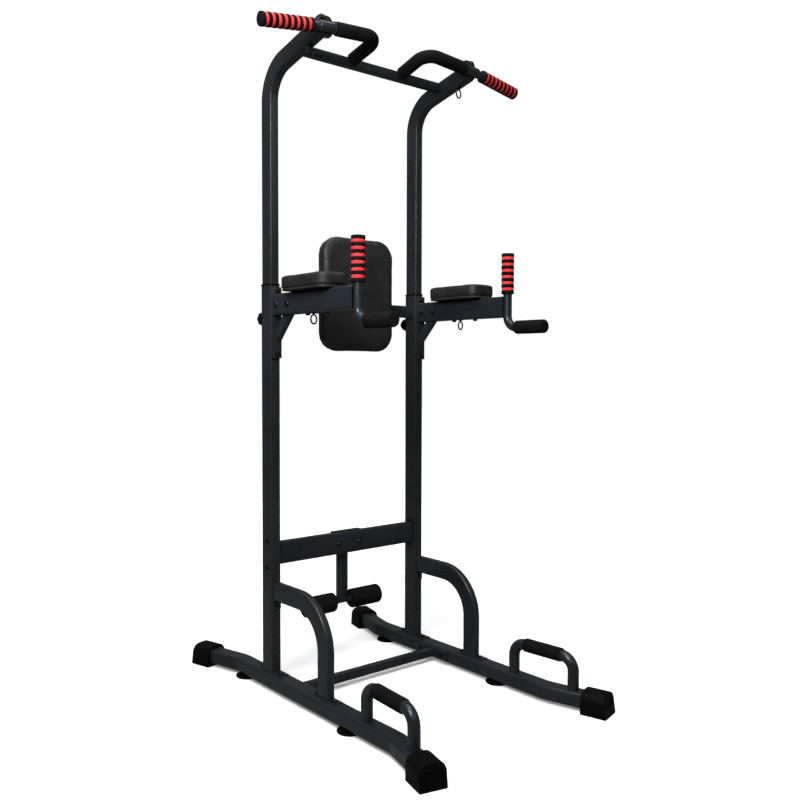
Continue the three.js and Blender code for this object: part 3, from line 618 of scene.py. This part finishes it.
bar_bolts = []
base_y = (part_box("base_bar")[0].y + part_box("base_bar")[1].y) / 2
mid_low, mid_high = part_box("mid_bar")
mid_z = (mid_low.z + mid_high.z) / 2
for side, s in SIDES:
    inner = s * (SIDE_X - RAIL_WIDTH / 2 - 0.0045)
    bar_bolts += [hex_bolt((inner, base_y + y, 0.036), (-s, 0, 0)) for y in (-0.061, 0.061)]
    outer = s * (SIDE_X + POST_WIDTH / 2)
    bar_bolts += [hex_bolt((outer, POST_Y, mid_z + z), (s, 0, 0)) for z in (-0.048, 0.048)]
    plate_face = s * (mid_high.x - 0.003)
    bar_bolts += [hex_bolt((plate_face, POST_Y, mid_z + z), (-s, 0, 0), 0.0075) for z in (-0.050, 0.050)]
bar_bolts += [dome_bolt((x, POST_Y - 0.015, mid_z - 0.0015), (0, -1, 0)) for x in (-0.048, 0.048)]
piece("crossbar_bolts", joined(*bar_bolts), "base", black_steel)

# Roller axle and rollers: a steel rod through the hanger with a painted spacer on each side of
# it, and two thick sleeves of black closed-cell foam that turn on the rod.
foam = coating("closed_cell_foam", (0.0034, 0.0034, 0.0036), (0.0056, 0.0056, 0.0058), (0.78, 0.92),
               620.0, 25.0, 0.55, pebble=0.7, shine=0.06)
axle_low, axle_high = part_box("roller_axle")
axle_y, axle_z = (axle_low.y + axle_high.y) / 2, (axle_low.z + axle_high.z) / 2
half_axle = [(0.1715, 0.0095), (0.1715, 0.0152), (0.1722, 0.016), (0.1745, 0.016), (0.1755, 0.015),
             (0.1755, 0)]
axle_profile = [(-a, r) for a, r in half_axle[::-1]] + half_axle
axle_rod = turned(axle_profile, (1, 0, 0), (0, axle_y, axle_z))
piece("axle_rod", axle_rod, "base", black_steel, ["roller_axle"])
spacer = [(0.021, 0.0095), (0.021, 0.0110), (0.0215, 0.0115), (0.0375, 0.0115), (0.038, 0.0110),
          (0.038, 0.0095), (0.021, 0.0095)]
for side, s in SIDES:
    tube = turned(spacer, (s, 0, 0), (0, axle_y, axle_z))
    piece(f"axle_spacer_{side}", tube, "base", powder_coat)


CUP_END = 0.006


def foam_sleeve(length, radius, bore, easing=0.005, closed_end=False):
    """Profile of a foam tube: a quarter-circle easing at each end, and a bore or a closed end."""
    turn = np.linspace(0, math.pi / 2, 7)
    start = np.column_stack([easing * (1 - np.sin(turn))[::-1], radius - easing * (1 - np.cos(turn))[::-1]])
    end = np.column_stack([length - start[::-1, 0], start[::-1, 1]])
    if closed_end:
        depth = length - CUP_END
        cup_end = [(length, 0.0), (depth, 0.0), (depth, bore), (0.0, bore)]
        return np.vstack([(0.0, bore), start, end, *cup_end])
    return np.vstack([(0.0, bore), start, end, (length, bore), (0.0, bore)])


for side, s, body in (("l", -1.0, "roller_left"), ("r", 1.0, "roller_right")):
    low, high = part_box(f"roller_{side}")
    start = min(abs(low.x), abs(high.x))
    profile = foam_sleeve(high.x - low.x, 0.036, 0.010, 0.006)
    sleeve = turned(profile, (s, 0, 0), (s * start, axle_y, axle_z))
    piece(f"foam_roller_{side}", sleeve, body, foam, [f"roller_{side}"])

# Push-up handles: round tube bent into a staple and welded to the top of each rail, with a
# foam sleeve over the level part. They lean outwards with the rail at the front.
PUSH_RADIUS, PUSH_BEND, PUSH_GRIP_START, PUSH_GRIP_LENGTH = 0.019, 0.045, 0.048, 0.152


def circle(radius, points=36):
    """A circle as an outline."""
    angle = np.arange(points) * 2 * math.pi / points
    return radius * np.stack([np.cos(angle), np.sin(angle)], -1)


for side, s in SIDES:
    low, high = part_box(f"push_handle_{side}")
    front_x, rear_x = s * (max(abs(low.x), abs(high.x)) - PUSH_RADIUS), s * SIDE_X
    front_y, rear_y, grip_z = low.y + PUSH_RADIUS, high.y - PUSH_RADIUS, high.z - PUSH_RADIUS
    corners = [(rear_x, rear_y, RAIL_TOP - 0.004), (rear_x, rear_y, grip_z), (front_x, front_y, grip_z),
               (front_x, front_y, RAIL_TOP - 0.006)]
    tube = swept(bent_line(corners, (PUSH_BEND, PUSH_BEND), 18), circle(PUSH_RADIUS), (1, 0, 0))
    piece(f"push_tube_{side}", tube, "base", powder_coat, [f"push_handle_{side}"])
    way = unit(np.array([front_x - rear_x, front_y - rear_y, 0.0]))
    origin = np.array([rear_x, rear_y, grip_z]) + way * PUSH_GRIP_START
    sleeve = turned(foam_sleeve(PUSH_GRIP_LENGTH, 0.0235, 0.0194), way, origin)
    piece(f"push_foam_{side}", sleeve, "base", foam, [f"push_grip_{side}"])

# Masts: the upper tubes. They slide in the posts, rise straight, bend forwards above the
# user's head and end in a plate for the handles. A row of pin holes runs down the back.
MAST_WIDTH, MAST_DEPTH, MAST_BEND, MAST_SLOPE = 0.033, 0.059, 0.121, math.radians(12.5)
MAST_CORNER, HOLE_PITCH, HOLE_COUNT, LUG_THICK = 2.148, 0.050, 12, 0.005
TUBE_WALL, MAST_EDGE, ARM_EDGE = 0.002, 0.0035, 0.009
mast_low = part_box("mast_r")[0]
mast_front = mast_low.y + LUG_THICK
LUG_LOW, LUG_HIGH, LUG_CORNER, LUG_INNER, LUG_OUTER = 2.185, 2.253, 0.018, 0.290, 0.350


def lug(s, back):
    """The joining plate on a mast or handle, its back face at a given distance y."""
    return plate((s * LUG_INNER, back - LUG_THICK, LUG_LOW), (s * LUG_OUTER, back, LUG_HIGH), LUG_CORNER, 1)


def mast_level(y):
    """Height of the mast's centre line at a distance y along its forward slope."""
    return MAST_CORNER + (POST_Y - y) * math.tan(MAST_SLOPE)


for side, s in SIDES:
    x = s * SIDE_X
    corners = [(x, POST_Y, mast_low.z), (x, POST_Y, MAST_CORNER),
               (x, mast_front + 0.002, mast_level(mast_front))]
    line = bent_line(corners, (MAST_BEND,), 28)
    tube = swept(line, rounded(MAST_DEPTH, MAST_WIDTH, MAST_EDGE), (1, 0, 0),
                 bore=rounded(MAST_DEPTH - 2 * TUBE_WALL, MAST_WIDTH - 2 * TUBE_WALL, 0.0018))
    made = piece(f"mast_tube_{side}", tube, "upper_frame", powder_coat, [f"mast_{side}"])
    first_hole = pin_z - 2 * HOLE_PITCH
    drills = [turned([(0, 0), (0, HOLE_RADIUS), (0.02, HOLE_RADIUS), (0.02, 0)], (0, 1, 0),
                     (x, POST_Y + 0.02, first_hole + i * HOLE_PITCH), 24) for i in range(HOLE_COUNT)]
    carve(made, drills)
    piece(f"mast_plate_{side}", lug(s, mast_front), "upper_frame", powder_coat, bevel=0.0008)

# Top crossbar: rectangular tube welded between the two sloping masts.
bar_low, bar_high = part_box("top_bar")
bar_y, bar_z = (bar_low.y + bar_high.y) / 2, (bar_low.z + bar_high.z) / 2
bar = swept([(bar_low.x - 0.001, bar_y, bar_z), (bar_high.x + 0.001, bar_y, bar_z)],
            rounded(bar_high.z - bar_low.z, bar_high.y - bar_low.y, 0.005), (0, 1, 0))
piece("top_crossbar", bar, "upper_frame", powder_coat, ["top_bar"])

# Pull-up handles: one length of round tube on each side. It slopes down outside the mast,
# crosses its front under a bolted plate and turns back to the crossbar, covered in foam.
PULL_RADIUS, PULL_BEND, GRIP_X = 0.014, 0.052, 0.284
PULL_OUTER, PULL_MID, PULL_TURN = (0.552, -0.070, 2.182), (0.330, -0.080, 2.212), (0.106, -0.076, 2.230)
PULL_END = (0.111, bar_low.y - 0.0003, 2.192)
RED_BAND, BLACK_BAND, BAND_HIGH, BAND_LOW = 0.00934, 0.0122, 0.0223, 0.0211
red_foam = coating("red_foam", (0.66, 0.022, 0.026), (0.82, 0.036, 0.038), (0.55, 0.75),
                   620.0, 30.0, 0.4, pebble=0.7)


def banded_profile(reds, bore, depth):
    """Profile of a striped grip: equal black ribs with eased shoulders, and bands sunk a little
    between them."""
    points = [(0.0, bore)]
    pitch = BLACK_BAND + RED_BAND
    for i in range(reds + 1):
        start, end = i * pitch, i * pitch + BLACK_BAND
        points += [(start, BAND_LOW - 0.0004), (start + 0.0006, BAND_HIGH - 0.0004),
                   (start + 0.0016, BAND_HIGH), (end - 0.0016, BAND_HIGH),
                   (end - 0.0006, BAND_HIGH - 0.0004), (end, BAND_LOW - 0.0004)]
        if i < reds:
            points += [(end + 0.0009, BAND_LOW), (end + RED_BAND - 0.0009, BAND_LOW)]
    length = reds * pitch + BLACK_BAND
    points += [(length, 0.0), (depth, 0.0), (depth, bore), (0.0, bore)]
    return points


def striped_grip(name, reds, bore, direction, origin, body, node):
    """A turned grip with two finishes: the strips between ribs take the second one."""
    length = reds * (BLACK_BAND + RED_BAND) + BLACK_BAND
    points = banded_profile(reds, bore, length - 0.0045)
    grip = turned(points, direction, origin)
    made = piece(name, grip, body, foam, [node], sharp=60.0)
    made.data.materials.append(red_foam)
    centres = np.empty(len(made.data.polygons) * 3)
    made.data.polygons.foreach_get("center", centres)
    offset = centres.reshape(-1, 3) - np.asarray(origin)
    along = offset @ unit(direction)
    distance = np.linalg.norm(offset - along[:, None] * unit(direction), axis=1)
    pitch = BLACK_BAND + RED_BAND
    is_red = (along % pitch > BLACK_BAND) & (distance > bore + 0.001) & (along > 0) & (along < length)
    made.data.polygons.foreach_set("material_index", is_red.astype(np.int32))


def mirrored(point, s):
    """A point given for the right side, on either side."""
    return np.array([s * point[0], point[1], point[2]])


for side, s in SIDES:
    outer, mid, turn, end = (mirrored(p, s) for p in (PULL_OUTER, PULL_MID, PULL_TURN, PULL_END))
    line = bent_line([outer, mid, turn, end], (0.060, PULL_BEND), 18)
    tube = swept(line, circle(PULL_RADIUS), (0, 0, 1))
    piece(f"pull_tube_{side}", tube, "upper_frame", powder_coat, [f"pull_handle_{side}"])
    clamp = turned([(0, 0), (0, 0.0160), (0.0015, 0.0175), (0.055, 0.0175), (0.0555, 0.0200),
                    (0.0585, 0.0200), (0.059, 0.0190), (0.059, 0)],
                   mirrored((-0.059, 0, 0.006), s),
                   mirrored((LUG_OUTER, PULL_MID[1], PULL_MID[2] - 0.002), s))
    piece(f"pull_clamp_{side}", clamp, "upper_frame", powder_coat)
    back = mast_low.y - 0.0003
    piece(f"pull_plate_{side}", lug(s, back), "upper_frame", powder_coat, bevel=0.0008)
    heads = [hex_bolt((s * 0.331, back - LUG_THICK, z), (0, -1, 0), 0.0078) for z in (2.1945, 2.2445)]
    heads += [hex_bolt((s * 0.303, mast_front, z), (0, 1, 0), 0.0078) for z in (2.1965, 2.2415)]
    piece(f"pull_plate_bolts_{side}", joined(*heads), "upper_frame", black_steel)
    grip_from = mid + (turn - mid) * (PULL_MID[0] - GRIP_X) / (PULL_MID[0] - PULL_TURN[0])
    grip_to = turn + (end - turn) * 0.93
    grip_line = bent_line([grip_from, turn, grip_to], (PULL_BEND,), 22)
    cover = swept(grip_line, circle(0.0224, 48), (0, 0, 1), bore=circle(0.0145, 48))
    piece(f"pull_foam_{side}", cover, "upper_frame", foam, [f"pull_grip_{side}"], bevel=0.004)
    way = unit(outer - mid)
    reds = 8
    length = reds * (BLACK_BAND + RED_BAND) + BLACK_BAND
    striped_grip(f"pull_stripes_{side}", reds, 0.0144, way, outer + way * (0.005 - length), "upper_frame",
                 f"pull_striped_{side}")

# Eye bolts: black steel rings for stretch bands, hung under each mast and each dip arm.
EYE_WIRE, EYE_TURN, EYE_SEGMENTS, WIRE_SEGMENTS = 0.0028, math.radians(16), 40, 14


def ring_eye(at, radius):
    """A ring bent from round wire, on a short stem with a washer, turned about Z."""
    angle = np.arange(EYE_SEGMENTS) * 2 * math.pi / EYE_SEGMENTS
    hub = np.stack([radius * np.cos(angle), np.zeros(EYE_SEGMENTS), radius * np.sin(angle)], -1)
    wire = circle(EYE_WIRE, WIRE_SEGMENTS)
    outward, sideways = unit(hub), np.array([0.0, 1.0, 0.0])
    points = hub[:, None] + wire[None, :, :1] * outward[:, None] + wire[None, :, 1:] * sideways
    ring_points = EYE_SEGMENTS * WIRE_SEGMENTS
    faces = [[i % ring_points for i in face] for face in grid_faces(EYE_SEGMENTS + 1, WIRE_SEGMENTS)]
    bottom, top = radius - 0.001, radius + 0.0055
    stem = turned([(bottom, 0), (bottom, 0.0038), (top - 0.002, 0.0038), (top - 0.002, 0.0075),
                   (top - 0.0005, 0.0075), (top, 0.0068), (top, 0)], (0, 0, 1), (0, 0, 0), 28)
    both = joined((points.reshape(-1, 3), faces), stem)
    lowered = both[0] - np.array([0.0, 0.0, top + 0.0003])
    return np.asarray(at) + lowered @ np.array(Matrix.Rotation(EYE_TURN, 3, "Z")).T, both[1]


mast_eye_y = POST_Y - 0.249
mast_under = mast_level(mast_eye_y) - MAST_DEPTH / 2 / math.cos(MAST_SLOPE)
arm_low, arm_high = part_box("arm_r")
eye_low, eye_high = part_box("arm_eye_r")
for side, s in SIDES:
    x = s * SIDE_X
    mast_eye = ring_eye((x, mast_eye_y, mast_under + 0.0012), 0.0160)
    piece(f"eye_mast_{side}", mast_eye, "upper_frame", black_steel, [f"mast_eye_{side}"])
    arm_eye = ring_eye((x, (eye_low.y + eye_high.y) / 2, arm_low.z), 0.0148)
    piece(f"eye_arm_{side}", arm_eye, "base", black_steel, [f"arm_eye_{side}"])

# Pull pins: a spring pin through the boss on the back of each post, with a lobed hand knob.
for side, s, body in (("l", -1.0, "pull_pin_left"), ("r", 1.0, "pull_pin_right")):
    x = s * SIDE_X
    low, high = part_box(f"pin_{side}")
    knob_y = POST_Y + 0.0374
    rod = turned([(low.y, 0), (low.y, 0.004), (low.y + 0.0015, 0.005), (knob_y + 0.004, 0.005),
                  (knob_y + 0.004, 0)], (0, 1, 0), (x, 0, pin_z), 28)
    piece(f"pin_rod_{side}", rod, body, black_steel)
    profile = [(0, 0), (0, 0.0205), (0.0012, 0.0232), (0.004, 0.0248), (0.010, 0.0248), (0.0125, 0.0236),
               (0.0150, 0.0200), (0.0250, 0.0165), (0.0278, 0.0150), (0.0290, 0.0120), (0.0290, 0)]
    knob = turned(profile, (0, 1, 0), (x, knob_y, pin_z), 96, lobes=8, lobe_depth=0.045)
    piece(f"pin_knob_{side}", knob, body, plastic, [f"pin_{side}"], sharp=50.0)

# Dip arms: deep rectangular tube that slips over a stub on each bracket, held by two cross
# bolts, and coped at the front onto the round handle tube.
ARM_WIDTH, ARM_HEIGHT = arm_high.x - arm_low.x, arm_high.z - arm_low.z
arm_z = (arm_low.z + arm_high.z) / 2
DIP_RADIUS, DIP_BORE, COPE_LENGTH = 0.0154, 0.0158, 0.2
COPE_RADIUS = DIP_RADIUS + 0.0002
DIP_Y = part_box("dip_handle_r")[1].y - DIP_RADIUS
bracket_low, bracket_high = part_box("arm_bracket_r")
for side, s in SIDES:
    x = s * SIDE_X
    bar = swept([(x, arm_high.y, arm_z), (x, DIP_Y + 0.004, arm_z)],
                rounded(ARM_HEIGHT, ARM_WIDTH, ARM_EDGE), (1, 0, 0),
                bore=rounded(ARM_HEIGHT - 2 * TUBE_WALL, ARM_WIDTH - 2 * TUBE_WALL, ARM_EDGE - TUBE_WALL))
    made = piece(f"arm_tube_{side}", bar, "base", powder_coat, [f"arm_{side}"], sharp=30.0)
    cope = [(0, 0), (0, COPE_RADIUS), (COPE_LENGTH, COPE_RADIUS), (COPE_LENGTH, 0)]
    carve(made, [turned(cope, (0, 0, 1), (x, DIP_Y, arm_z - COPE_LENGTH / 2), 48)])
    for end in ("rear", "front"):
        low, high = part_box(f"arm_bolt_{end}_{side}")
        y, z = (low.y + high.y) / 2, (low.z + high.z) / 2
        face = x + s * ARM_WIDTH / 2
        head = dome_bolt((face + s * 0.001, y, z), (s, 0, 0), 0.0125)
        nut = hex_bolt((x - s * ARM_WIDTH / 2, y, z), (-s, 0, 0), 0.0078)
        shank = turned([(0, 0), (0, 0.004), (ARM_WIDTH, 0.004), (ARM_WIDTH, 0)], (s, 0, 0),
                       (x - s * ARM_WIDTH / 2, y, z), 20)
        piece(f"arm_cross_bolt_{end}_{side}", joined(head, nut, shank), "base", black_steel,
              [f"arm_bolt_{end}_{side}"])
    bolts = [hex_bolt((x, bracket_low.y + 0.1267, z), (0, -1, 0), 0.008)
             for z in (bracket_low.z + 0.0135, bracket_high.z - 0.012)]
    bolts += [hex_bolt((x, y, arm_low.z), (0, 0, -1), 0.0075) for y in (0.014, -0.097)]
    piece(f"bracket_bolts_{side}", joined(*bolts), "base", black_steel)

# Dip handles: round tube that drops from an upright striped grip, turns forwards below the
# arm and ends in a short level foam grip.
for side, s in SIDES:
    x = s * SIDE_X
    low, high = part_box(f"dip_handle_{side}")
    grip_z = low.z + DIP_RADIUS
    line = bent_line([(x, DIP_Y, high.z), (x, DIP_Y, grip_z), (x, low.y, grip_z)], (0.042,), 22)
    piece(f"dip_tube_{side}", swept(line, circle(DIP_RADIUS), (1, 0, 0)), "base", powder_coat,
          [f"dip_handle_{side}"])
    low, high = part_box(f"dip_striped_{side}")
    striped_grip(f"dip_stripes_{side}", 6, DIP_BORE, (0, 0, 1), (x, DIP_Y, low.z), "base",
                 f"dip_striped_{side}")
    low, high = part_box(f"dip_grip_{side}")
    profile = foam_sleeve(high.y - low.y, 0.0235, DIP_BORE, 0.0055, closed_end=True)
    cup = turned(profile, (0, -1, 0), (x, high.y, grip_z))
    piece(f"dip_foam_{side}", cup, "base", foam, [f"dip_grip_{side}"])

# Cushions: foam on a plywood board, covered in black grained vinyl that swells between its
# edges. Each is remeshed, blown up a little by cloth pressure and smoothed.
vinyl = coating("grained_vinyl", (0.0090, 0.0090, 0.0096), (0.0135, 0.0135, 0.0142), (0.42, 0.56),
                520.0, 12.0, 0.35, pebble=0.85)


SWELL_STEPS = 20


def cushion_shape(width, length, height, corner, edge):
    """A slab with round corners in plan and quarter-round edges, as rings from bottom to top."""
    turn = np.linspace(0, math.pi / 2, 6)
    inset = np.concatenate([edge * (1 - np.sin(turn)), edge * (1 - np.cos(turn))])
    rise = np.concatenate([edge * (1 - np.cos(turn)), height - edge * (1 - np.sin(turn))])
    rings = []
    for depth, level in zip(inset, rise):
        ring = rounded(width - 2 * depth, length - 2 * depth, corner - depth, 10)
        rings.append(np.column_stack([ring, np.full(len(ring), level)]))
    size = len(rings[0])
    faces = grid_faces(len(rings), size)
    top = size * (len(rings) - 1)
    faces += [list(range(size)), list(range(top + size - 1, top - 1, -1))]
    return np.vstack(rings), faces


def swell(made, most, flat_axis, flat_at, voxel=0.005):
    """Blows a closed mesh up with cloth pressure and no gravity for twenty steps, then limits
    how far any point has moved and keeps the face that rests on its board flat."""
    remesh = made.modifiers.new("even", "REMESH")
    remesh.mode = "VOXEL"
    remesh.voxel_size = voxel
    bake(made)
    before = np.empty(len(made.data.vertices) * 3)
    made.data.vertices.foreach_get("co", before)
    cloth = made.modifiers.new("swell", "CLOTH")
    cloth.settings.use_pressure = True
    cloth.settings.uniform_pressure_force = 4.0
    cloth.settings.effector_weights.gravity = 0.0
    cloth.point_cache.frame_start, cloth.point_cache.frame_end = 1, SWELL_STEPS
    for step in range(1, SWELL_STEPS + 1):
        bpy.context.scene.frame_set(step)
    bake(made)
    bpy.context.scene.frame_set(1)
    after = np.empty(len(made.data.vertices) * 3)
    made.data.vertices.foreach_get("co", after)
    before, move = before.reshape(-1, 3), (after - before).reshape(-1, 3)
    length = np.linalg.norm(move, axis=1, keepdims=True)
    after = before + move * np.minimum(1, most / np.maximum(length, 1e-9))
    sign = 1 if flat_at > before[:, flat_axis].mean() else -1
    past = sign * (after[:, flat_axis] - flat_at) > 0
    after[past, flat_axis] = flat_at
    made.data.vertices.foreach_set("co", after.ravel())
    smooth = made.modifiers.new("smooth", "SUBSURF")
    smooth.levels = smooth.render_levels = 1
    made.data.shade_smooth()


BOARD_THICK, BOARD_INSET, PAD_FILL = 0.007, 0.006, 0.85
board_paint = coating("board_paint", (0.012, 0.011, 0.010), (0.020, 0.018, 0.016), (0.55, 0.75),
                      300.0, 18.0, 0.3)
for side, s in SIDES:
    low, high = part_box(f"arm_pad_{side}")
    middle = (low + high) / 2
    width, length, height = high - low
    board = plate((low.x + BOARD_INSET, low.y + BOARD_INSET, low.z),
                  (high.x - BOARD_INSET, high.y - BOARD_INSET, low.z + BOARD_THICK), 0.034, 2)
    piece(f"arm_board_{side}", board, "base", board_paint, bevel=0.0008)
    points, faces = cushion_shape(width - 0.004, length - 0.004, height - BOARD_THICK - 0.002,
                                  0.037, 0.0055)
    points = points + np.array([middle.x, middle.y, low.z + BOARD_THICK])
    made = piece(f"arm_cushion_{side}", (points, faces), "base", vinyl, [f"arm_pad_{side}"])
    swell(made, 0.0035, 2, low.z + BOARD_THICK, 0.004)

low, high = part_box("back_pad")
middle = (low + high) / 2
points, faces = cushion_shape(high.x - low.x - 0.008, high.z - low.z - 0.008,
                              high.y - low.y - 0.005, 0.071, 0.011)
points = np.column_stack([points[:, 0] + middle.x, high.y - points[:, 2], points[:, 1] + middle.z])
made = piece("back_cushion", (points, faces), "base", vinyl, ["back_pad"])
swell(made, 0.007, 1, high.y)
eased("back_board", "back_plywood", 0.001, board_paint)
